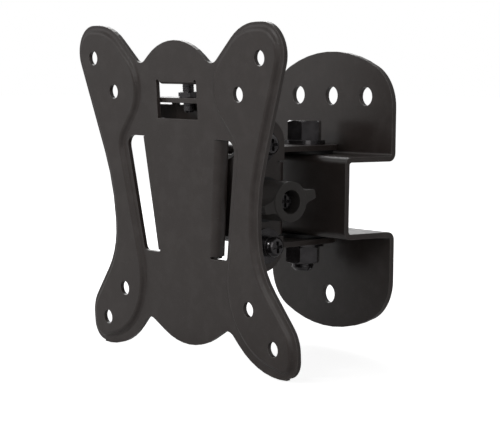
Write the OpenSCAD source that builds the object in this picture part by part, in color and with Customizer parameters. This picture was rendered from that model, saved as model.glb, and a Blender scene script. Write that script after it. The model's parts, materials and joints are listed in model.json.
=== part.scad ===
// Tilt and swivel wall mount for a small screen
// Origin: middle hole of the upper wall row, on the wall. +Y points into the wall, +Z up.
// The wall bracket is fixed, the swivel bracket turns about the upright bolt, and the
// tilt yoke turns about the clamp bolt. The screen plate hangs on the yoke by a dovetail.

/* [Wall bracket] */
// Width of the wall bracket
wall_w = 68.6; // [60:0.2:90]
// Height of the wall bracket above the upper hole row
wall_top = 17; // [14:0.5:24]
// Height of the wall bracket below the upper hole row
wall_bottom = 90; // [84:0.5:110]
// Sheet thickness of the wall bracket
wall_t = 2; // [1.5:0.1:3]
// Distance from the wall to the front of the bracket's web
hat_depth = 25; // [23:0.5:34]
// Outer height of the folded web
hat_h = 30.4; // [27:0.2:38]
// Height of the web's middle below the upper hole row
hat_drop = 37.2; // [34:0.2:46]
// Radius of the top and bottom edges
wall_arc_r = 56; // [45:1:90]
// Radius of the four outer corners
wall_corner_r = 17; // [8:0.5:20]
// Spacing of the upper wall holes
wall_hole_gap = 19.5; // [14:0.5:24]
// Height of the upper hole row above the lower hole
wall_hole_rise = 77.2; // [70:0.2:84]
// Diameter of the wall holes
wall_hole_d = 7.2; // [5:0.1:9]

/* [Swivel joint] */
// Distance of the swivel bolt from the wall
pivot_y = 15.5; // [14.5:0.1:18]
// Thread diameter of the swivel bolt
pivot_d = 8; // [6:1:8]
// Length of the swivel bolt's end past its nut
pivot_end = 3; // [2:0.5:6]
// Width across flats of the swivel bolt and its nut
pivot_af = 12; // [11:1:13]
// Height of the swivel bolt's head
pivot_head_h = 7.4; // [4:0.1:9]
// Thickness of the nylon bearing washers
bearing_t = 1.5; // [0.8:0.1:2]
// Thickness of the steel washers on the swivel bolt
pivot_washer_t = 1.6; // [1:0.1:2]
// Sheet thickness of the swivel bracket
swivel_t = 2; // [1.5:0.1:2.5]
// Radius of the round end of each tongue
tongue_r = 12.5; // [11:0.25:13]
// Half width of the tongues at the web
tongue_half = 17; // [14:0.5:17.5]
// Distance from the swivel bolt to the back of the swivel bracket's web
web_reach = 25.7; // [24:0.1:36]

/* [Tilt joint] */
// Outer width over the swivel bracket's ears
ear_w = 40; // [37:0.5:50]
// Radius of the round ends of the ears
ear_r = 9.7; // [8.5:0.1:10]
// Height of the upper tilt screws above the clamp bolt
screw_up = 20; // [18:0.5:21]
// Depth of the lower tilt screws below the clamp bolt
screw_down = 17; // [16.5:0.5:20]
// Tilt to each side of upright that the curved slots allow
tilt_limit = 10; // [6:1:10]
// Tilt of the screen plate as shown, top leaning forward
tilt_now = 4.3; // [-10:0.1:10]
// Distance from the back of the swivel bracket's web to the clamp bolt
tilt_reach = 10.7; // [10.5:0.1:13]
// Thread diameter of the clamp bolt
clamp_d = 6; // [5:1:6]
// Thread diameter of the tilt screws
screw_d = 5; // [4:1:5]
// Diameter of the clamp knob's hub
knob_d = 14.5; // [12:0.5:15]
// Depth of the clamp knob
knob_h = 14.3; // [12:0.1:17]
// Span over the knob's two wings
knob_span = 24; // [18:0.5:25]

/* [Screen plate] */
// Sheet thickness of the screen plate
plate_t = 1.6; // [1.2:0.1:2]
// Height by which the two hole bands are raised
emboss_h = 1.5; // [1:0.1:2]
// Larger square hole pattern
pattern_a = 100; // [100:1:100]
// Smaller square hole pattern
pattern_b = 75; // [75:1:75]
// Diameter of the pattern holes
pattern_hole_d = 5.5; // [4.5:0.1:6]
// Distance from the tilt axis forward to the middle of the raised bands
plate_reach = 22.6; // [22.4:0.1:30]
// Height of the hole pattern's centre above the tilt axis
plate_lift = 2.4; // [0:0.1:6]
// Width of the window for the lock screw
window_w = 24.2; // [16:0.2:28]
// Height of the window for the lock screw
window_h = 13.4; // [11:0.2:14]
// Taper of each side of the dovetail
wedge_angle = 7.8; // [4:0.1:10]
// Length of the dovetail lips
lip_len = 42.5; // [30:0.5:44]

/* [Hidden] */
$fn = 64;
black = "#2b2a29";
steel = "#3a3a3c";
nylon = "#151515";

// Clearances
bolt_play = 0.2;
running_play = 0.08;
side_play = 0.1;
cut = 1;

// Wall bracket
hat_z = -hat_drop;
flange_top = hat_z + hat_h / 2;
flange_low = hat_z - hat_h / 2;
bend_r = 1;

// Swivel joint, stacked outward from the wall bracket's flanges
tongue_top_z = flange_top + bearing_t;
tongue_low_z = flange_low - bearing_t;
head_z = tongue_top_z + swivel_t + pivot_washer_t;
nut_z = tongue_low_z - swivel_t - pivot_washer_t;
nut_h = 6.5;
bolt_turn = 41;
pivot_len = head_z - nut_z + nut_h + pivot_end;
web_y = -pivot_y - web_reach;
web_relief = 3.5;
fold_top = tongue_top_z - web_relief;
fold_low = tongue_low_z + web_relief;

// Tilt joint
tilt_y = web_y - tilt_reach;
tilt_z = hat_z;
ear_x = ear_w / 2;
yoke_t = 2;
yoke_x = ear_x - swivel_t - 2 * side_play;
yoke_r = 7.2;
yoke_lobe_r = 4.8;
screw_heights = [screw_up, -screw_down];
slot_play = 0.3;
spacer_d = 8;
spacer_h = 3.3;
screw_head_d = 7.6;
screw_head_h = 2.7;
screw_washer_d = 13;
washer_t = 1;
screw_nut_af = 8;
screw_nut_h = 4;
clamp_nut_af = 10;
clamp_nut_h = 5;
knob_washer_d = 16.5;
knob_washer_t = 1.2;
knob_x = ear_x + knob_washer_t;
knob_seat = 7.8;
knob_recess_d = 8.6;
clamp_head_d = 7.6;
clamp_head_h = 3.4;
knob_angle = 12.7;

// Screen plate, in its own frame: x across, y back, z up from the hole pattern's centre
panel_y = emboss_h;
slope_w = 2.2;
slope_skin = 0.5;
window_z = 34.7;
wedge_half = 18;
channel_gap = 2.2;
channel_r = 1.4;
lip_turn = 4;
slot_w_top = 11.2;
slot_w_low = 10.2;
tab_half = 10.5;
tab_end = 10.5;
lock_y = 6.3;
lock_d = 4;
tab_z = window_z + window_h / 2 - 1;

// Receiver
rec_t = 1.8;
rail_y = panel_y + plate_t / 2 + (channel_gap - rec_t) / 2;
rec_y = 8.7;
rec_flange_z = 33.6;
rec_low = -23;
rec_high = 20;
rail_w = 3.7;
flange_half = 11.2;
yoke_y = rec_y + rec_t;
yoke_up = 12;
yoke_down = 14;

// Angle of a direction
function heading(v) = atan2(v[1], v[0]);

function wrap(a) = ((a % 360) + 360) % 360;

// Direction of the straight run between two pulleys [x, y, radius]
function run_angle(a, b) =
    let (d = [b[0] - a[0], b[1] - a[1]])
    heading(d) - asin(max(-1, min(1, (b[2] - a[2]) / norm(d))));

// Angle a belt turns through on a pulley, and the number of short steps it takes
function belt_turn(start, end, r) =
    r < 0 ? -(wrap(start - end + 0.01) - 0.01) : wrap(end - start + 0.01) - 0.01;

function distinct(points) =
    let (n = len(points))
    [for (i = [0:n - 1]) if (norm(points[i] - points[(i + n - 1) % n]) > 0.02) points[i]];

// Closed outline of a belt round the pulleys. A negative radius dents the outline in, and
// zero is a sharp corner. Growing moves the whole outline and keeps the number of points.
function belt(pulleys, grow = 0, step = 8) =
    let (n = len(pulleys),
        p = [for (q = pulleys) [q[0], q[1], q[2] == 0 ? 0 : q[2] + grow]],
        runs = [for (i = [0:n - 1]) run_angle(p[i], p[(i + 1) % n])])
    distinct([for (i = [0:n - 1])
        let (start = runs[(i + n - 1) % n], turn = belt_turn(start, runs[i], p[i][2]),
            count = p[i][2] == 0 ? 0 : max(1, ceil(abs(turn) / step)))
            for (k = [0:count])
                let (a = start + turn * k / max(1, count))
                [p[i][0] + p[i][2] * sin(a), p[i][1] - p[i][2] * cos(a)]]);

// Section of a folded strip: corner points of its middle line, inner bend radii, thickness
function fold_side(path, r, t, side) =
    [for (i = [0:len(path) - 1])
        let (last = len(path) - 1,
            a_in = i == 0 ? heading(path[1] - path[0]) : heading(path[i] - path[i - 1]),
            a_out = i == last ? a_in : heading(path[i + 1] - path[i]),
            turn = ((a_out - a_in + 540) % 360) - 180,
            bend = sign(turn) * ((is_list(r) ? r[i] : r) + t / 2),
            back = abs(bend) * tan(abs(turn) / 2),
            count = abs(turn) < 1 ? 0 : ceil(abs(turn) / 11.25),
            from = path[i] - back * [cos(a_in), sin(a_in)],
            centre = from + bend * [-sin(a_in), cos(a_in)])
        for (k = [0:count])
            let (a = count == 0 ? a_in : a_in + turn * k / count)
            count == 0 ? path[i] + side * t / 2 * [-sin(a), cos(a)]
                : centre - (bend - side * t / 2) * [-sin(a), cos(a)]];

function fold(path, r, t) =
    let (left = fold_side(path, r, t, 1), right = fold_side(path, r, t, -1))
    concat(left, [for (i = [len(right) - 1:-1:0]) right[i]]);

function mirrored(pulleys) =
    [for (i = [len(pulleys) - 1:-1:0]) [-pulleys[i][0], pulleys[i][1], pulleys[i][2]]];

// Closed sheet frame that follows a belt; its section is a loop of [growth, y] points
module frame_strip(pulleys, section) {
    rings = [for (c = section) [for (p = belt(pulleys, c[0])) [p[0], c[1], p[1]]]];
    n = len(rings[0]);
    m = len(rings);
    points = [for (ring = rings) for (p = ring) p];
    polyhedron(points, [for (j = [0:m - 1]) for (i = [0:n - 1])
        [j * n + i, (j + 1) % m * n + i, (j + 1) % m * n + (i + 1) % n, j * n + (i + 1) % n]]);
}

// Shapes drawn in x and z, raised from y = low to y = high
module across_y(low, high) {
    translate([0, high, 0]) rotate([90, 0, 0]) linear_extrude(high - low) children();
}

// Shapes drawn in y and z, raised from x = low to x = high
module across_x(low, high) {
    translate([low, 0, 0]) rotate([90, 0, 90]) linear_extrude(high - low) children();
}

module bore_x(d, low, high) {
    translate([low, 0, 0]) rotate([0, 90, 0]) cylinder(d = d, h = high - low);
}

module bore_y(d, low, high) {
    translate([0, high, 0]) rotate([90, 0, 0]) cylinder(d = d, h = high - low);
}

module ring(d, bore, h) {
    difference() {
        cylinder(d = d, h = h);
        translate([0, 0, -cut]) cylinder(d = bore, h = h + 2 * cut);
    }
}

// Hexagon with both end faces turned down to a chamfer; width across the flats
module hex_blank(af, h, chamfer_low, chamfer_high) {
    corner = af / cos(30);
    bevel = (corner - af) / 2;
    rise = bevel * tan(30);
    intersection() {
        rotate([0, 0, 30]) cylinder(d = corner, h = h, $fn = 6);
        rotate_extrude() polygon([[0, 0], [chamfer_low ? corner / 2 - bevel : corner, 0],
            [chamfer_low ? corner / 2 : corner, chamfer_low ? rise : 0],
            [chamfer_high ? corner / 2 : corner, chamfer_high ? h - rise : h],
            [chamfer_high ? corner / 2 - bevel : corner, h], [0, h]]);
    }
}

module hex_nut(af, bore, h) {
    difference() {
        hex_blank(af, h, true, true);
        translate([0, 0, -cut]) cylinder(d = bore, h = h + 2 * cut);
    }
}

// Pan head screw along +z, head on top of z = 0, shank below it, with a cross recess
module pan_screw(d, len, head_d, head_h, tip = 0.6) {
    edge = 0.25 * head_h;
    recess = 0.55 * head_h;
    blade = 0.15 * head_d;
    difference() {
        rotate_extrude() polygon(concat([[0, -len], [d / 2 - tip, -len], [d / 2, -len + tip],
            [d / 2, 0], [head_d / 2, 0], [head_d / 2, edge]],
            [for (a = [15:15:90]) [head_d / 2 - 0.22 * head_d * (1 - cos(a)),
                edge + (head_h - edge) * sin(a)]], [[0, head_h]]));
        for (a = [0, 90]) rotate([0, 0, a]) translate([-0.29 * head_d, -blade / 2, head_h - recess])
            cube([0.58 * head_d, blade, recess + cut]);
    }
}

// Moves a piece from the tilt axis frame to its place, leaned by the present tilt
module on_tilt() {
    translate([0, tilt_y, tilt_z]) rotate([tilt_now, 0, 0]) children();
}

module on_plate() {
    on_tilt() translate([0, -plate_reach, plate_lift]) children();
}

// Mirrors a right-hand piece to the left when side is -1
module on_side(side) {
    mirror([side < 0 ? 1 : 0, 0, 0]) children();
}

// Wall bracket
function wall_corner(z, side) =
    let (reach = wall_arc_r - wall_corner_r, x = wall_w / 2 - wall_corner_r)
    [x, z + side * (sqrt(reach * reach - x * x) - wall_arc_r), wall_corner_r];

wall_half = [wall_corner(-wall_bottom, -1), wall_corner(wall_top, 1)];
wall_belt = concat(wall_half, [[0, wall_top - wall_arc_r, wall_arc_r]],
    mirrored(wall_half), [[0, -wall_bottom + wall_arc_r, wall_arc_r]]);

module wall_bracket() {
    mid = wall_t / 2;
    path = [[-mid, wall_top + cut], [-mid, flange_top - mid], [-hat_depth + mid, flange_top - mid],
        [-hat_depth + mid, flange_low + mid], [-mid, flange_low + mid], [-mid, -wall_bottom - cut]];
    color(black) difference() {
        intersection() {
            across_x(-wall_w / 2, wall_w / 2) polygon(fold(path, bend_r, wall_t));
            across_y(-hat_depth - cut, cut) polygon(belt(wall_belt, 0, 6));
        }
        for (x = [-1:1]) translate([x * wall_hole_gap, 0, 0]) bore_y(wall_hole_d, -wall_t - cut, cut);
        translate([0, 0, -wall_hole_rise]) bore_y(wall_hole_d, -wall_t - cut, cut);
        translate([0, -pivot_y, flange_low - cut])
            cylinder(d = pivot_d + 2 * bolt_play, h = hat_h + 2 * cut);
    }
}

// Swivel bolt with its washers and nut
module at_pivot(z) {
    translate([0, -pivot_y, z]) children();
}

module pivot_bolt() {
    tip = 1;
    color(steel) at_pivot(head_z) {
        rotate([0, 0, bolt_turn]) hex_blank(pivot_af, pivot_head_h, false, true);
        translate([0, 0, -pivot_len + tip]) cylinder(d = pivot_d, h = pivot_len - tip);
        translate([0, 0, -pivot_len]) cylinder(d1 = pivot_d - 2 * tip, d2 = pivot_d, h = tip);
    }
}

module pivot_washer_top() {
    color(steel) at_pivot(head_z - pivot_washer_t)
        ring(2 * pivot_d, pivot_d + 2 * running_play, pivot_washer_t);
}

module pivot_washer_bottom() {
    color(steel) at_pivot(nut_z) ring(2 * pivot_d, pivot_d + 2 * running_play, pivot_washer_t);
}

module bearing_washer_top() {
    color(nylon) at_pivot(flange_top) ring(2 * tongue_r - 3, pivot_d + 2 * running_play, bearing_t);
}

module bearing_washer_bottom() {
    color(nylon) at_pivot(tongue_low_z) ring(2 * tongue_r - 3, pivot_d + 2 * running_play, bearing_t);
}

module pivot_nut() {
    color(steel) at_pivot(nut_z - nut_h) rotate([0, 0, bolt_turn])
        hex_nut(pivot_af, pivot_d + 2 * running_play, nut_h);
}

// Swivel bracket: two tongues folded back from a web, two ears folded forward from it
module ear_outline() {
    hull_w = 2 * ear_r;
    for (z = screw_heights) translate([tilt_y, tilt_z + z]) circle(r = ear_r);
    translate([tilt_y - ear_r, tilt_z - screw_down]) square([hull_w, screw_up + screw_down]);
}

// Curved slot about the tilt axis that a tilt screw travels in
module tilt_slot(r, z_side) {
    half_w = screw_d / 2 + slot_play;
    for (a = [-tilt_limit, tilt_limit]) rotate([a, 0, 0]) translate([0, 0, z_side * r])
        bore_x(2 * half_w, -cut, swivel_t + cut);
    rotate([90, 0, 90]) translate([0, 0, -cut]) rotate([0, 0, z_side * 90 - tilt_limit])
        rotate_extrude(angle = 2 * tilt_limit) translate([r - half_w, 0])
            square([2 * half_w, swivel_t + 2 * cut]);
}

module swivel_bracket() {
    mid = swivel_t / 2;
    tongues = [[0, tongue_top_z + mid], [web_y - mid, tongue_top_z + mid],
        [web_y - mid, tongue_low_z - mid], [0, tongue_low_z - mid]];
    ears = [[-ear_x + mid, tilt_y], [-ear_x + mid, web_y - mid], [ear_x - mid, web_y - mid],
        [ear_x - mid, tilt_y]];
    color(black) difference() {
        union() {
            intersection() {
                across_x(-tongue_half, tongue_half) polygon(fold(tongues, bend_r, swivel_t));
                translate([0, 0, tongue_low_z - swivel_t - cut])
                    linear_extrude(tongue_top_z - tongue_low_z + 2 * swivel_t + 2 * cut)
                    polygon(belt([[0, -pivot_y, tongue_r], [-tongue_half, web_y - 2 * swivel_t, 0],
                        [tongue_half, web_y - 2 * swivel_t, 0]]));
            }
            translate([0, 0, fold_low]) linear_extrude(fold_top - fold_low)
                polygon(fold(ears, bend_r, swivel_t));
            for (side = [-1, 1]) on_side(side) difference() {
                across_x(ear_x - swivel_t, ear_x) ear_outline();
                translate([0, web_y - 2 * swivel_t, fold_low - 0.6])
                    cube([ear_w, ear_w, fold_top - fold_low + 1.2]);
            }
        }
        at_pivot(tongue_low_z - 2 * swivel_t)
            cylinder(d = pivot_d + 2 * running_play, h = tongue_top_z - tongue_low_z + 4 * swivel_t);
        for (side = [-1, 1]) on_side(side) translate([ear_x - swivel_t, tilt_y, tilt_z]) {
            bore_x(clamp_d + 2 * running_play, -cut, swivel_t + cut);
            tilt_slot(screw_up, 1);
            tilt_slot(screw_down, -1);
        }
    }
}

// Clamp bolt through both pairs of ears, with its knob, washers and nut
module at_tilt_axis(x) {
    translate([x, tilt_y, tilt_z]) rotate([0, 90, 0]) children();
}

module clamp_bolt() {
    len = knob_x + knob_seat + ear_x + washer_t + clamp_nut_h + 2;
    color(steel) at_tilt_axis(knob_x + knob_seat) pan_screw(clamp_d, len, clamp_head_d, clamp_head_h);
}

module clamp_knob() {
    wing_low = 1;
    tip_r = 0.8;
    tip_half = 0.9;
    root_r = 3;
    root_half = 2.1;
    hub_r = knob_d / 2;
    root_z = root_half + root_r;
    root_x = sqrt(pow(hub_r + root_r, 2) - root_z * root_z);
    tip_x = knob_span / 2 - tip_r;
    wing = [[root_x, -root_z, -root_r], [tip_x, -tip_half, tip_r],
        [tip_x, tip_half, tip_r], [root_x, root_z, -root_r]];
    hub = [[0, 0, hub_r - 0.05]];
    color(black) at_tilt_axis(knob_x) rotate([0, 0, 90 + knob_angle]) difference() {
        union() {
            cylinder(d = knob_d, h = knob_h);
            translate([0, 0, wing_low]) linear_extrude(knob_h - wing_low - 0.3)
                polygon(belt(concat(wing, hub, mirrored(wing), hub)));
        }
        translate([0, 0, -cut]) cylinder(d = clamp_d + 2 * running_play, h = knob_h + 2 * cut);
        translate([0, 0, knob_seat]) cylinder(d = knob_recess_d, h = knob_h);
    }
}

module knob_washer() {
    color(nylon) at_tilt_axis(ear_x) ring(knob_washer_d, clamp_d + 2 * running_play, knob_washer_t);
}

module clamp_nut_washer() {
    color(steel) at_tilt_axis(-ear_x - washer_t) ring(2 * clamp_d, clamp_d + 2 * running_play, washer_t);
}

module clamp_nut() {
    color(steel) at_tilt_axis(-ear_x - washer_t - clamp_nut_h)
        hex_nut(clamp_nut_af, clamp_d + 2 * running_play, clamp_nut_h);
}

// Tilt yoke: a web behind the receiver with two ears folded back
module tilt_yoke() {
    mid = yoke_t / 2;
    front = -plate_reach + yoke_y;
    corner = 4;
    path = [[-yoke_x + mid, yoke_r + cut], [-yoke_x + mid, front + mid], [yoke_x - mid, front + mid],
        [yoke_x - mid, yoke_r + cut]];
    color(black) on_tilt() difference() {
        intersection() {
            translate([0, 0, -screw_down - ear_r]) linear_extrude(screw_up + screw_down + 2 * ear_r)
                polygon(fold(path, bend_r, yoke_t));
            across_x(-yoke_x - cut, yoke_x + cut) polygon(belt([
                [front - cut, plate_lift - yoke_down, 0], [0, -screw_down, yoke_lobe_r], [0, 0, yoke_r],
                [0, screw_up, yoke_lobe_r], [front - cut, plate_lift + yoke_up, 0]]));
        }
        bore_x(clamp_d + 2 * running_play, -yoke_x - cut, yoke_x + cut);
        for (z = screw_heights) translate([0, 0, z])
            bore_x(screw_d + 2 * running_play, -yoke_x - cut, yoke_x + cut);
        for (x = [-1, 1]) translate([x * rivet_x, 0, plate_lift + rivet_z])
            bore_y(rivet_d + 2 * running_play, front - cut, front + yoke_t + cut);
    }
}

// Four screws that guide the yoke's ears along the curved slots
module at_screws(side, x) {
    on_side(side) on_tilt() for (z = screw_heights) translate([x, 0, z]) rotate([0, 90, 0]) children();
}

module tilt_screws(side) {
    head_x = ear_x + washer_t + spacer_h;
    len = head_x - yoke_x + yoke_t + screw_nut_h + 1.5;
    color(steel) at_screws(side, head_x) pan_screw(screw_d, len, screw_head_d, screw_head_h);
}

module tilt_spacers(side) {
    color(steel) at_screws(side, ear_x + washer_t) ring(spacer_d, screw_d + 2 * running_play, spacer_h);
}

module tilt_washers(side) {
    color(steel) at_screws(side, ear_x) ring(screw_washer_d, screw_d + 2 * running_play, washer_t);
}

module tilt_nuts(side) {
    color(steel) at_screws(side, yoke_x - yoke_t - screw_nut_h)
        hex_nut(screw_nut_af, screw_d + 2 * running_play, screw_nut_h);
}

// Dovetail sides lean along this line; half_at gives the half width at a height
function half_at(z) = wedge_half + z * tan(wedge_angle);

// Leans a side piece drawn upright at x = 0 onto the line where the right lip begins,
// and trims its ends level
module on_wedge(side, low, high) {
    reach = high - low;
    on_side(side) intersection() {
        translate([half_at(0), 0, 0]) rotate([0, wedge_angle, 0]) translate([0, 0, low - reach / 4])
            linear_extrude(1.5 * reach) children();
        translate([0, -2 * rec_y, low]) cube([2 * wedge_half, 4 * rec_y, reach]);
    }
}

// Receiver: a tray whose sides turn outward behind the lips, with a flange on top
rivet_x = 4.5;
rivet_z = -2;
rivet_d = 4;
rail_edge = 0.2;
wall_mid = rail_edge - rail_w - rec_t / 2;

module receiver() {
    mid = rec_t / 2;
    side = [[rail_edge, rail_y + mid], [wall_mid, rail_y + mid], [wall_mid, rec_y + mid],
        [wall_mid - 4, rec_y + mid]];
    hat = [[rec_y + mid, rec_high - 2], [rec_y + mid, rec_flange_z + mid],
        [panel_y + plate_t / 2 + 0.6, rec_flange_z + mid]];
    relief_x = 5;
    relief_h = 1.1;
    seam = 0.02;
    color(black) on_plate() difference() {
        union() {
            for (s = [-1, 1]) on_wedge(s, rec_low, rec_high) polygon(fold(side, 0.6, rec_t));
            across_y(rec_y + seam, rec_y + rec_t - seam) polygon([
                [-half_at(rec_low) - wall_mid + 2, rec_low], [half_at(rec_low) + wall_mid - 2, rec_low],
                [half_at(rec_high) + wall_mid - 2, rec_high], [flange_half, rec_high + 4],
                [flange_half, rec_flange_z - 2], [-flange_half, rec_flange_z - 2],
                [-flange_half, rec_high + 4], [-half_at(rec_high) - wall_mid + 2, rec_high]]);
            across_x(-flange_half, flange_half) polygon(fold(hat, bend_r, rec_t));
        }
        for (s = [-1, 1]) on_side(s) translate([relief_x, rec_y - 1.6, rec_flange_z - relief_h - 0.15])
            cube([flange_half, rec_t + 3.2, relief_h]);
        translate([0, lock_y, rec_flange_z - cut]) cylinder(d = lock_d + 2 * bolt_play, h = rec_t + 2 * cut);
        for (x = [-1, 1]) translate([x * rivet_x, 0, rivet_z])
            bore_y(rivet_d + 2 * running_play, rec_y - cut, rec_y + rec_t + cut);
    }
}

module receiver_rivets() {
    head_t = 1.1;
    grip = rec_t + yoke_t;
    color(steel) on_plate() for (x = [-1, 1]) translate([x * rivet_x, rec_y + grip, rivet_z])
        rotate([90, 0, 0]) {
            cylinder(d = rivet_d, h = grip);
            translate([0, 0, grip]) cylinder(d = 1.8 * rivet_d, h = head_t);
            translate([0, 0, -head_t]) cylinder(d = 1.8 * rivet_d, h = head_t);
        }
}

// Screen plate: outline with four ears, two raised bands, a window and two dovetail lips
rim_w = 1;
side_arcs = [[52, -28.7, 32], [54.3, -53, 7], [48.4, -50, 13], [71.1, -13, -28], [113.1, -11, -70],
    [50.6, 51.4, 10.8], [47.5, 40.2, 22]];
outline_half = concat([[23.3, -51.7, -4.5]], side_arcs, [[21.4, 52.7, -4.5]]);
outline = concat([[0, -23.95, 31]], outline_half, [[0, 29.4, 27]], mirrored(outline_half));
band = [[54.3, -53, 7 - rim_w], [48.4, -50, 13 - rim_w], [71.1, -13, -28 - rim_w],
    [113.1, -11, -70 - rim_w], [50.6, 51.4, 10.8 - rim_w], [47.5, 40.2, 22 - rim_w],
    [37.6, 38.8, 13.2 + slope_w], [27, 17, -9.2 + slope_w], [52.5, -30.5, 25.5 + slope_w]];

// Slope of the raised bands from the flat sheet up to the crest: [growth, height]
slope = [[0, 0], [-0.35 * slope_w, 0.22 * emboss_h], [-0.68 * slope_w, 0.82 * emboss_h],
    [-slope_w, emboss_h]];

module slot_void() {
    r = 4;
    low_r = 2;
    inner_r = 0.7;
    top = lip_len / 2;
    across_y(panel_y - plate_t, panel_y + plate_t) polygon(belt([
        [half_at(-top) + inner_r, -top - 0.6 + inner_r, inner_r],
        [half_at(-top) + slot_w_low - low_r, -top - 0.6 + low_r, low_r],
        [half_at(top) + slot_w_top - r, top - r, r],
        [half_at(top) + inner_r, top - inner_r, inner_r]]));
}

module lip() {
    mid_x = channel_r + plate_t / 2;
    mid_y = panel_y + plate_t + channel_gap;
    on_wedge(1, -lip_len / 2 + 0.2, lip_len / 2 - 0.3) polygon(fold([[-3, panel_y], [mid_x, panel_y],
        [mid_x, mid_y], [mid_x + plate_t / 2 - lip_turn, mid_y]], [0, channel_r, 0.4, 0], plate_t));
}

module window_tab() {
    path = [[panel_y, tab_z + 6], [panel_y, tab_z + plate_t / 2], [tab_end, tab_z + plate_t / 2]];
    across_x(-tab_half, tab_half) polygon(fold(path, 0.6, plate_t));
}

module screen_plate() {
    back = panel_y + plate_t / 2;
    front = panel_y - plate_t / 2;
    notch = 1.6;
    crest = -slope_w - slope_skin;
    color(black) on_plate() difference() {
        union() {
            difference() {
                union() {
                    difference() {
                        across_y(front, back) polygon(belt(outline));
                        for (side = [-1, 1]) on_side(side)
                            across_y(front - cut, back + cut) polygon(belt(band, -slope_skin / 2));
                    }
                    for (side = [-1, 1]) on_side(side) {
                        frame_strip(band, concat([[0.4, back], [0.4, front]],
                            [for (k = slope) [k[0], front - k[1]]],
                            [[crest - 0.4, front - emboss_h], [crest - 0.4, back - emboss_h]],
                            [for (i = [len(slope) - 1:-1:0])
                                [slope[i][0] - slope_skin, back - slope[i][1]]]));
                        across_y(front - emboss_h, back - emboss_h) polygon(belt(band, crest - 0.2));
                    }
                }
                for (side = [-1, 1]) on_side(side) slot_void();
                across_y(front - cut, back + cut) translate([-window_w / 2, window_z - window_h / 2])
                    square([window_w, window_h]);
            }
            for (side = [-1, 1]) on_side(side) lip();
            window_tab();
        }
        for (x = [-1, 1], z = [-1, 1], half = [pattern_a / 2, pattern_b / 2])
            translate([x * half, 0, z * half]) bore_y(pattern_hole_d, front - emboss_h - cut, back + cut);
        for (x = [-1, 1]) translate([x * (window_w / 2 - notch / 2), 0, window_z + window_h / 2])
            bore_y(notch, front - cut, back + cut);
        translate([0, lock_y, tab_z - cut]) cylinder(d = lock_d + 2 * bolt_play, h = plate_t + 2 * cut);
    }
}

module lock_screw() {
    color(steel) on_plate() translate([0, lock_y, tab_z + plate_t]) pan_screw(lock_d, 12, 7, 2.6);
}

module lock_nut() {
    color(steel) on_plate() translate([0, lock_y, rec_flange_z + rec_t])
        hex_nut(7, lock_d + 2 * running_play, 2);
}

wall_bracket();
pivot_bolt();
pivot_washer_top();
pivot_washer_bottom();
bearing_washer_top();
bearing_washer_bottom();
pivot_nut();
swivel_bracket();
clamp_bolt();
clamp_knob();
knob_washer();
clamp_nut();
clamp_nut_washer();
tilt_yoke();
tilt_screws(1);  // tilt_screws_right
tilt_screws(-1);  // tilt_screws_left
tilt_spacers(1);  // tilt_spacers_right
tilt_spacers(-1);  // tilt_spacers_left
tilt_washers(1);  // tilt_washers_right
tilt_washers(-1);  // tilt_washers_left
tilt_nuts(1);  // tilt_nuts_right
tilt_nuts(-1);  // tilt_nuts_left
receiver();
receiver_rivets();
screen_plate();
lock_screw();
lock_nut();
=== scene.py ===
# %% [markdown]
# # A black steel wall mount for a small screen
# The packed model gives every piece its shape and place. This script gives the pieces their
# finish, adds threads to the bolts and shoulders to the receiver, and sets the light and the
# camera of the photo.

# %% The packed model
import json
import math

import bmesh
import bpy
from mathutils import Matrix, Vector


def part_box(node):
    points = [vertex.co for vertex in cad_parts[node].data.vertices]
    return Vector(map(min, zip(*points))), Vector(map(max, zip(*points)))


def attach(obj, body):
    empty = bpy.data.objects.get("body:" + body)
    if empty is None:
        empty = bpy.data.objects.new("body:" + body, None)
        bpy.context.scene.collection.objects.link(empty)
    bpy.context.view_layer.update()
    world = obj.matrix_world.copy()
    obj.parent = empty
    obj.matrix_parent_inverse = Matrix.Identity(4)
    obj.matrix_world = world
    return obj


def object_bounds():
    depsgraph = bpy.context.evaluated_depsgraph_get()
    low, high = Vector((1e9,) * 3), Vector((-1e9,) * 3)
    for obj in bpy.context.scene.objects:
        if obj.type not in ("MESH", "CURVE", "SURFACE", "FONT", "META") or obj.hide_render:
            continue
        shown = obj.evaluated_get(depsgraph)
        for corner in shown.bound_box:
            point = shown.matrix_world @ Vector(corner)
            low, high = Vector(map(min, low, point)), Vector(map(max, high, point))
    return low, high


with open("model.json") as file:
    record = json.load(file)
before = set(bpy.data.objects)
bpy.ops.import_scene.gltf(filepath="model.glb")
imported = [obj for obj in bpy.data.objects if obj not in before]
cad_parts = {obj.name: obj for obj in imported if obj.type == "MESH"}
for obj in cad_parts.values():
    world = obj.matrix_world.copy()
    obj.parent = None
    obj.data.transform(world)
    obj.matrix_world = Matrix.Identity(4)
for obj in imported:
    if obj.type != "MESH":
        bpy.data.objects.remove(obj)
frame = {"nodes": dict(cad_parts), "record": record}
nodes = frame["nodes"]
size_at_start = [list(corner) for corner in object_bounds()]

# %% [markdown]
# ## The plate's own frame
# The screen plate leans forward about the knob's bolt, and the lock screw and the receiver lean
# with it. What is added to them could be given as leaning points. It is easier to place it
# upright, with x across, y to the back and z up, and to lean it as a whole.

# %% Plate frame
MM = 0.001
LEAN = math.radians(4.3)
TILT_AXIS = Vector((0, -51.9, -37.2)) * MM
PLATE_FROM_AXIS = Vector((0, -22.6, 2.4)) * MM
on_plate = (Matrix.Translation(TILT_AXIS) @ Matrix.Rotation(LEAN, 4, "X")
            @ Matrix.Translation(PLATE_FROM_AXIS))
print("plate frame starts at, mm:", [round(v / MM, 1) for v in on_plate.translation])

# %% [markdown]
# ## Camera
# The eight holes of the screen plate are the corners of two known squares, and together with
# the hexagon bolt and the wall holes they fix where the photo was taken from. A camera could
# be moved by hand until the picture fits, but known points give the real size as well.

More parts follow.
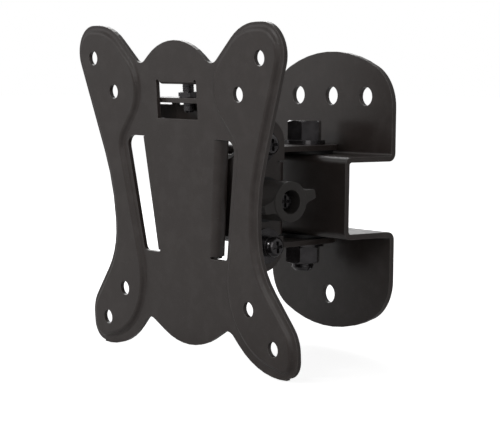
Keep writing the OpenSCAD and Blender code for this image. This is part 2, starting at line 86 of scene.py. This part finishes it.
# %% Camera
CAMERA_AT = Vector((504.3, -449.8, 7.7)) * MM
CAMERA_RIGHT = Vector((0.6282, 0.7780, 0.0113))
CAMERA_UP = Vector((-0.0682, 0.0406, 0.9968))
LENS_MM = 125.0
SENSOR_MM = 36.0


def camera_matrix(place, right, up):
    """The camera's place and turn, from two directions that are first made exactly square."""
    right = right.normalized()
    back = right.cross(up).normalized()
    up = back.cross(right)
    turn = Matrix((right, up, back)).transposed().to_4x4()
    return Matrix.Translation(place) @ turn


lens = bpy.data.cameras.new("camera")
lens.lens = LENS_MM
lens.sensor_width = SENSOR_MM
lens.sensor_fit = "HORIZONTAL"
camera = bpy.data.objects.new("camera", lens)
bpy.context.collection.objects.link(camera)
camera.matrix_world = camera_matrix(CAMERA_AT, CAMERA_RIGHT, CAMERA_UP)
bpy.context.scene.camera = camera
print("camera distance, m:", round(CAMERA_AT.length, 3))

# %% [markdown]
# ## Reading node trees like formulas
# Shader nodes could be made and linked one line at a time. A wrapped socket can be added to,
# scaled and mixed like a number or a colour instead, so that each material below reads as the
# recipe that it is.

# %% Sockets that calculate
class Value:
    """A socket that can be used in Python expressions."""

    def __init__(self, tree, socket=None):
        self.tree, self.socket = tree, socket

    def node(self, kind, inputs=None, output=0, **settings):
        made = self.tree.nodes.new(kind)
        for name, value in settings.items():
            setattr(made, name, value)
        for name, value in (inputs or {}).items():
            self.feed(made.inputs[name], value)
        return Value(self.tree, made.outputs[output])

    def feed(self, target, value):
        if isinstance(value, Value):
            self.tree.links.new(value.socket, target)
        elif hasattr(value, "__len__") and len(value) == 3 and target.type == "RGBA":
            target.default_value = (*value, 1.0)
        else:
            target.default_value = value

    def is_vector(self, other):
        kinds = [v.socket.type for v in (self, other) if isinstance(v, Value)]
        return "VECTOR" in kinds or "RGBA" in kinds or isinstance(other, (tuple, list, Vector))

    def math(self, operation, first, second):
        if self.is_vector(first if first is not self else second):
            return self.node("ShaderNodeVectorMath", {0: first, 1: second}, operation=operation)
        return self.node("ShaderNodeMath", {0: first, 1: second}, operation=operation)

    def __add__(self, other):
        return self.math("ADD", self, other)

    def __radd__(self, other):
        return self.math("ADD", other, self)

    def __sub__(self, other):
        return self.math("SUBTRACT", self, other)

    def __rsub__(self, other):
        return self.math("SUBTRACT", other, self)

    def __mul__(self, other):
        return self.math("MULTIPLY", self, other)

    def __rmul__(self, other):
        return self.math("MULTIPLY", other, self)

    def span(self, low, high):
        """Rises from 0 to 1 as this value goes from low to high, and stays there."""
        return self.node("ShaderNodeMapRange", {"Value": self, "From Min": low, "From Max": high},
                         interpolation_type="SMOOTHSTEP")

    def between(self, low, high):
        """A colour from low to high, as this value goes from 0 to 1."""
        mix = self.tree.nodes.new("ShaderNodeMix")
        mix.data_type = "RGBA"
        for name, value in (("Factor", self), ("A", low), ("B", high)):
            wanted = "VALUE" if name == "Factor" else "RGBA"
            self.feed(next(s for s in mix.inputs if s.name == name and s.type == wanted), value)
        return Value(self.tree, next(s for s in mix.outputs if s.type == "RGBA"))


print("reflected operators:", [name for name in vars(Value) if name.startswith("__r")])

# %% [markdown]
# ## A finish
# Each finish is one material. Its edges are made lighter, for wear and as a painted highlight
# where a rounded edge would catch the light, and this could be painted by hand. Here the edges
# are found from the shape: a normal that is rounded over a small radius differs from the true one
# only near an edge, and the mesh stays as it was packed.

# %% Colours and the finish that uses them
EDGE_SAMPLES = 6
EDGE_STARTS = 0.02


def srgb(code):
    """The linear colour of a six-digit colour code."""
    parts = [int(code[i:i + 2], 16) / 255 for i in (0, 2, 4)]
    return tuple(p / 12.92 if p <= 0.04045 else ((p + 0.055) / 1.055) ** 2.4 for p in parts)


def grey(level):
    return (level, level, level)


def scaled(colour, factor):
    return tuple(c * factor for c in colour)


class Finish(Value):
    """A material whose shader gets its constants at once and its varying inputs one by one."""

    def __init__(self, name, **constants):
        self.material = bpy.data.materials.new(name)
        self.material.use_nodes = True
        super().__init__(self.material.node_tree)
        self.shader = self.tree.nodes["Principled BSDF"]
        for key, value in constants.items():
            self.shader.inputs[key.replace("_", " ")].default_value = value
        self.place = self.node("ShaderNodeTexCoord", output="Object")

    def set(self, name, value):
        self.feed(self.shader.inputs[name], value)

    def noise(self, per_metre, detail=3.0, roughness=0.5):
        return self.node("ShaderNodeTexNoise", {"Vector": self.place, "Scale": per_metre,
                         "Detail": detail, "Roughness": roughness})

    def rounded(self, radius):
        return self.node("ShaderNodeBevel", {"Radius": radius}, samples=EDGE_SAMPLES)

    def edge_wear_and_highlight(self, radius, amount):
        """1 on sharp edges, where a widely rounded normal differs from the true one."""
        true = self.node("ShaderNodeNewGeometry", output="Normal")
        soft = self.rounded(radius)
        same = self.node("ShaderNodeVectorMath", {0: true, 1: soft}, output="Value",
                         operation="DOT_PRODUCT")
        return (1.0 - same).span(EDGE_STARTS, amount)

    def rough_skin(self, height, metres, edge_radius, strength):
        """Bump on top of softly rounded edges."""
        soft = self.rounded(edge_radius)
        bump = self.node("ShaderNodeBump", {"Height": height, "Distance": metres,
                         "Strength": strength, "Normal": soft})
        self.set("Normal", bump)


print("mid grey in linear light:", round(srgb("808080")[0], 3))

# %% [markdown]
# ## Powder coat
# The sheets are sprayed with a black powder that melts into a satin skin. Close up it has a fine
# orange peel, its folds and cut edges are painted lighter as a highlight for the light that their
# rounding catches, and dust and handling leave broad, faint changes of gloss. An image could
# carry all this, but noise over the object's own coordinates has no seams and needs no
# unwrapping.

# %% Powder coat
def powder_coat(name, colour, lighter, roughness):
    coat = Finish(name, IOR=1.5, Specular_IOR_Level=0.6, Coat_Roughness=0.24, Coat_Weight=0.2)
    peel = coat.noise(per_metre=950, detail=2.0)
    grain = coat.noise(per_metre=4200, detail=2.0)
    cloud = coat.noise(per_metre=28, detail=4.0, roughness=0.6).span(0.3, 0.7)
    haze = coat.noise(per_metre=140, detail=3.0, roughness=0.6).span(0.42, 0.72)
    edge = coat.edge_wear_and_highlight(0.6 * MM, amount=0.4)
    mottled = cloud.between(colour, scaled(colour, 1.07))
    specks = coat.noise(per_metre=2600, detail=1.0).span(0.66, 0.74)
    dusty = (haze * 0.08 + specks * 0.14).between(mottled, lighter)
    # Folds and cut edges are painted lighter here: a painted highlight where their rounding would
    # catch the light.
    coat.set("Base Color", (edge * 0.75).between(dusty, lighter))
    coat.set("Roughness", roughness + cloud * 0.06 + haze * 0.05 - edge * 0.06)
    coat.rough_skin(peel * 0.7 + grain * 0.3, 0.05 * MM, edge_radius=0.35 * MM, strength=0.55)
    return coat.material


powder = powder_coat("powder_coat", srgb("3a322f"), srgb("837e7b"), roughness=0.33)
print("powder coat nodes:", len(powder.node_tree.nodes))

# %% [markdown]
# ## Blackened screws, nylon and the knob
# The screws and nuts are dipped black and stay glossy, with fine marks in the gloss. The
# washers of nylon are duller, and the knob has the fine spark-eroded grain of its mould. The
# two plastics differ only in colour and grain, so one function makes both.

# %% Hardware and plastics
def black_zinc():
    zinc = Finish("black_zinc", Metallic=0.8, Coat_Weight=0.5, Coat_Roughness=0.08)
    smut = zinc.noise(per_metre=320, detail=4.0, roughness=0.6).span(0.35, 0.7)
    marks = zinc.noise(per_metre=5200, detail=1.0)
    edge = zinc.edge_wear_and_highlight(0.3 * MM, amount=0.6)
    dark = smut.between(srgb("4a4749"), srgb("5a5759"))
    zinc.set("Base Color", (edge * 0.55).between(dark, srgb("8b8a88")))
    zinc.set("Roughness", 0.15 + smut * 0.06 + marks * 0.03)
    zinc.rough_skin(marks, 0.015 * MM, edge_radius=0.2 * MM, strength=0.5)
    return zinc.material


def plastic(name, colour, lighter, roughness, grain_per_metre, depth):
    skin = Finish(name, IOR=1.49, Specular_IOR_Level=0.5)
    cloud = skin.noise(per_metre=90, detail=3.0).span(0.3, 0.75)
    grain = skin.noise(grain_per_metre, detail=3.0, roughness=0.65)
    edge = skin.edge_wear_and_highlight(0.5 * MM, amount=0.6)
    body = cloud.between(colour, scaled(colour, 1.2))
    skin.set("Base Color", (edge * 0.4).between(body, lighter))
    skin.set("Roughness", roughness + grain * 0.08 + cloud * 0.04)
    skin.rough_skin(grain, depth, edge_radius=0.4 * MM, strength=0.6)
    return skin.material


zinc = black_zinc()
nylon = plastic("black_nylon", srgb("1b1b1c"), srgb("454547"), roughness=0.42,
                grain_per_metre=1500, depth=0.02 * MM)
knob_skin = plastic("knob_skin", srgb("3b3836"), srgb("77736f"), roughness=0.42,
                    grain_per_metre=2400, depth=0.05 * MM)
finishes = {
    "black_powder_coat": powder,
    "black_zinc": zinc,
    "nylon": nylon,
    "knob_plastic": knob_skin,
}

for part in frame["record"]["subparts"]:
    mesh = nodes[part["node"]].data
    if not mesh.materials:
        mesh.materials.append(None)
    for i in range(len(mesh.materials)):
        mesh.materials[i] = finishes[part["material_slot"]]

# %% [markdown]
# ## Threads
# A thread is one ridge that winds round the bolt. A Screw modifier could wind it. A loop over
# small steps was chosen, because it also lets the ridge fade out at both ends. The section is
# a small triangle that climbs by one pitch a turn.

# %% One ridge round a shank
STEPS_A_TURN = 36
FADE_STEPS = 12
RIDGE_SUNK = 0.1 * MM
RISE_IN_PITCHES, RISE_MOST = 0.38, 0.42 * MM
FLANK_IN_PITCHES, MARGIN_IN_PITCHES = 0.4, 0.42


def thread(name, start, end, radius, pitch, body):
    """A right-handed ridge from start to end, standing a little proud of a plain shank."""
    along = end - start
    length = along.length
    turn = along.to_track_quat("Z", "Y").to_matrix()
    rise = min(RISE_IN_PITCHES * pitch, RISE_MOST)
    flank = FLANK_IN_PITCHES * pitch
    margin = MARGIN_IN_PITCHES * pitch
    rounds = length / pitch
    steps = int(rounds * STEPS_A_TURN)
    points, faces = [], []
    for k in range(steps + 1):
        angle = 2 * math.pi * rounds * k / steps
        fade = min(1.0, k / FADE_STEPS, (steps - k) / FADE_STEPS)
        z = min(max(length * k / steps, margin), length - margin)
        foot, crest = radius - RIDGE_SUNK, radius + rise * fade - RIDGE_SUNK
        for r, dz in ((foot, -flank), (crest, 0), (foot, flank)):
            local = Vector((r * math.cos(angle), r * math.sin(angle), z + dz))
            points.append(start + turn @ local)
    for k in range(steps):
        a, b = 3 * k, 3 * k + 3
        for i in range(3):
            j = (i + 1) % 3
            faces.append((a + i, b + i, b + j, a + j))
    faces += [(2, 1, 0), (3 * steps, 3 * steps + 1, 3 * steps + 2)]
    mesh = bpy.data.meshes.new(name)
    mesh.from_pydata(points, [], faces)
    mesh.materials.append(zinc)
    for face in mesh.polygons:
        face.use_smooth = True
    piece = bpy.data.objects.new(name, mesh)
    bpy.context.collection.objects.link(piece)
    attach(piece, body)
    return piece


# %% [markdown]
# ### The threads that show
# The swivel bolt and the clamp bolt end 2 to 3 mm past their nuts, so about two turns are
# enough, and each thread starts just inside its nut and stops short of the bolt's end. The
# lock screw's thread runs from near its tip up through its nut.

# %% Threads of the swivel bolt, the clamp bolt and the lock screw
SWIVEL_R, SWIVEL_PITCH = 4 * MM, 1.25 * MM
SWIVEL_IN_NUT, SWIVEL_FROM_END = 0.6 * MM, 0.8 * MM
CLAMP_R, CLAMP_PITCH = 3 * MM, 1 * MM
CLAMP_IN_NUT, CLAMP_FROM_END = 0.4 * MM, 0.4 * MM
LOCK_R, LOCK_PITCH = 2 * MM, 0.7 * MM
LOCK_Y, LOCK_LOW, LOCK_TOP = 6.3 * MM, 30.5 * MM, 40.2 * MM


def middle(low, high):
    return [(a + b) / 2 for a, b in zip(low, high)]


bolt_low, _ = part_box("pivot_bolt")
nut_low, nut_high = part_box("pivot_nut")
bolt_x, bolt_y, _ = middle(nut_low, nut_high)
swivel_thread = thread(
    "pivot_thread", Vector((bolt_x, bolt_y, nut_low[2] + SWIVEL_IN_NUT)),
    Vector((bolt_x, bolt_y, bolt_low[2] + SWIVEL_FROM_END)), SWIVEL_R, SWIVEL_PITCH, "wall")

clamp_low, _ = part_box("clamp_bolt")
clamp_nut_low, clamp_nut_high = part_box("clamp_nut")
_, clamp_y, clamp_z = middle(clamp_nut_low, clamp_nut_high)
clamp_thread = thread(
    "clamp_thread", Vector((clamp_nut_low[0] + CLAMP_IN_NUT, clamp_y, clamp_z)),
    Vector((clamp_low[0] + CLAMP_FROM_END, clamp_y, clamp_z)), CLAMP_R, CLAMP_PITCH, "knob")

lock_thread = thread(
    "lock_thread", on_plate @ Vector((0, LOCK_Y, LOCK_LOW)),
    on_plate @ Vector((0, LOCK_Y, LOCK_TOP)), LOCK_R, LOCK_PITCH, "tilt_head")

for piece in (swivel_thread, clamp_thread, lock_thread):
    print(piece.name, len(piece.data.polygons), "faces")

# %% [markdown]
# ## Shoulders of the receiver
# Through the window of the plate the receiver is seen to be as wide at its flange as it is
# below. Two shoulders carry its back wall and its flange outward, with the relief slot of the
# fold between them. Their lower edge stays above the ears when the plate leans back. They
# could be boxes with the slot cut out. An outline that is drawn out to the sheet's thickness
# gives the slot and the fold without a cut.

# %% Receiver shoulders
SHEET = 1.8 * MM
WALL_Y = 8.7 * MM
FLANGE_Z = 33.6 * MM
FLANGE_FRONT = 2.9 * MM
SHOULDER_IN, SHOULDER_OUT = 11.1 * MM, 21.6 * MM
SHOULDER_LOW = 20.3 * MM
SHOULDER_EDGE = 24.7 * MM
NECK_X, NECK_SLOPE = 16.2 * MM, 1 * MM
CORNER = 0.8 * MM
RELIEF_X, RELIEF_H = 13.8 * MM, 1.1 * MM
RELIEF_TOP = FLANGE_Z - 0.15 * MM
FOLD_R = 1.0 * MM
FOLD_STEPS = 6


def prism(bm, outline, low, high, place):
    """A sheet piece: an outline of (a, b) points, drawn out from low to high."""
    near = [bm.verts.new(place(a, b, low)) for a, b in outline]
    far = [bm.verts.new(place(a, b, high)) for a, b in outline]
    bm.faces.new(near)
    bm.faces.new(list(reversed(far)))
    for i in range(len(near)):
        j = (i + 1) % len(near)
        bm.faces.new((near[j], near[i], far[i], far[j]))


def fold_arc(radius):
    """Points on the fold above the relief slot, in plate (y, z)."""
    centre = (WALL_Y - FOLD_R, FLANGE_Z - FOLD_R)
    start = math.asin(min(1.0, (RELIEF_TOP - centre[1]) / radius))
    angles = [start + (math.pi / 2 - start) * k / FOLD_STEPS for k in range(FOLD_STEPS + 1)]
    return [(centre[0] + radius * math.cos(a), centre[1] + radius * math.sin(a)) for a in angles]


def shoulder(name, side):
    wall = [
        (SHOULDER_IN, SHOULDER_LOW), (NECK_X, SHOULDER_LOW),
        (NECK_X + NECK_SLOPE, SHOULDER_EDGE), (SHOULDER_OUT - CORNER, SHOULDER_EDGE),
        (SHOULDER_OUT, SHOULDER_EDGE + CORNER), (SHOULDER_OUT, RELIEF_TOP - RELIEF_H),
        (RELIEF_X, RELIEF_TOP - RELIEF_H), (RELIEF_X, RELIEF_TOP), (SHOULDER_IN, RELIEF_TOP),
    ]
    front = [(FLANGE_FRONT, FLANGE_Z + SHEET), (FLANGE_FRONT, FLANGE_Z)]
    flange = fold_arc(FOLD_R + SHEET) + front + list(reversed(fold_arc(FOLD_R)))
    bm = bmesh.new()
    prism(bm, wall, WALL_Y, WALL_Y + SHEET,
          lambda x, z, y: on_plate @ Vector((side * x, y, z)))
    prism(bm, flange, SHOULDER_IN, SHOULDER_OUT,
          lambda y, z, x: on_plate @ Vector((side * x, y, z)))
    bmesh.ops.recalc_face_normals(bm, faces=bm.faces)
    mesh = bpy.data.meshes.new(name)
    bm.to_mesh(mesh)
    bm.free()
    mesh.materials.append(powder)
    piece = bpy.data.objects.new(name, mesh)
    bpy.context.collection.objects.link(piece)
    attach(piece, "tilt_head")
    return piece


for side, name in ((1, "receiver_shoulder_right"), (-1, "receiver_shoulder_left")):
    print(name, len(shoulder(name, side).data.polygons), "faces")

# %% [markdown]
# ## Floor and surroundings
# A pale floor just under the mount takes a faint shadow. Lamps alone could make it white only
# by making the mount too bright. So it shines by itself, to the camera only, and a little less
# near the mount than further off. The surroundings are white to the camera as well, dim to the
# surfaces that they light, and a little brighter in reflections.

# %% Floor and surroundings
FLOOR_GAP = 0.5 * MM
FLOOR_HALF = 6.0
FLOOR_GLOW = 0.85
FLOOR_NEAR = 0.13
FLOOR_FAR = 0.3
SKY_FILL, SKY_GLOSS = 0.05, 0.28
floor_height = size_at_start[0][2] - FLOOR_GAP


def floor_and_backdrop():
    mesh = bpy.data.meshes.new("floor")
    corners = [(x * FLOOR_HALF, y * FLOOR_HALF, floor_height)
               for x, y in ((-1, -1), (1, -1), (1, 1), (-1, 1))]
    mesh.from_pydata(corners, [], [(0, 1, 2, 3)])
    floor = bpy.data.objects.new("floor", mesh)
    bpy.context.collection.objects.link(floor)
    pale = Finish("floor", Specular_IOR_Level=0.1, Emission_Strength=1.0)
    seen = pale.node("ShaderNodeLightPath", output="Is Camera Ray")
    reach = pale.node("ShaderNodeVectorMath", {0: pale.place}, output="Value", operation="LENGTH")
    away = reach.span(FLOOR_NEAR, FLOOR_FAR)
    glow = away.between(grey(FLOOR_GLOW), grey(1.0))
    pale.set("Emission Color", seen.between(grey(0), glow))
    pale.set("Base Color", pale.noise(per_metre=8, detail=2.0).between(grey(0.86), grey(0.9)))
    pale.set("Roughness", 0.8 + pale.noise(per_metre=60, detail=2.0) * 0.1)
    mesh.materials.append(pale.material)


def white_world():
    world = bpy.data.worlds.new("white")
    world.use_nodes = True
    bpy.context.scene.world = world
    tree = world.node_tree
    sky = Value(tree)
    background = tree.nodes["Background"]
    seen = sky.node("ShaderNodeLightPath", output="Is Camera Ray")
    sky.feed(background.inputs["Color"], grey(1.0))
    mirrored = sky.node("ShaderNodeLightPath", output="Is Glossy Ray")
    sky.feed(background.inputs["Strength"],
             SKY_FILL + seen * (1.0 - SKY_FILL) + mirrored * SKY_GLOSS)


floor_and_backdrop()
white_world()
print("floor height, m:", round(floor_height, 4))

# %% [markdown]
# ## Lamps
# Six area lamps stand round the mount, as softboxes do in a product studio. A picture of a
# studio could light it too, but separate lamps can be set one at a time. Four broad ones are
# in front, and the rim lamp is behind on the left. The last one is small, so that its
# reflections are small.

# %% Lamps
TARGET = Vector((0, -0.045, -0.035))


def area_lamp(name, place, size, watts):
    lamp = bpy.data.lights.new(name, "AREA")
    lamp.shape = "RECTANGLE"
    lamp.size, lamp.size_y = size
    lamp.energy = watts
    made = bpy.data.objects.new(name, lamp)
    bpy.context.collection.objects.link(made)
    made.location = place
    made.rotation_euler = (TARGET - Vector(place)).to_track_quat("-Z", "Y").to_euler()
    return made


lamps = [
    area_lamp("left_softbox", place=(-0.75, -0.65, 0.3), size=(0.5, 0.9), watts=0.6),
    area_lamp("front_softbox", place=(0.35, -1.1, 0.5), size=(0.7, 0.6), watts=2.1),
    area_lamp("right_softbox", place=(0.95, -0.35, 0.3), size=(0.5, 0.8), watts=1.2),
    area_lamp("top_softbox", place=(-0.1, -0.7, 0.8), size=(0.7, 0.7), watts=0.6),
    area_lamp("rim_softbox", place=(-0.6, 0.35, 0.4), size=(0.4, 0.6), watts=2.0),
    area_lamp("glint", place=(-0.2, -0.95, 0.5), size=(0.12, 0.12), watts=0.9),
]
bpy.context.scene.view_settings.view_transform = "Standard"
print("lamps:", len(lamps), "watts:", round(sum(lamp.data.energy for lamp in lamps), 1))

# %% [markdown]
# ## The end
# The threads and the shoulders stay inside the box of the packed model, so the size at the end
# has to be the size at the start.
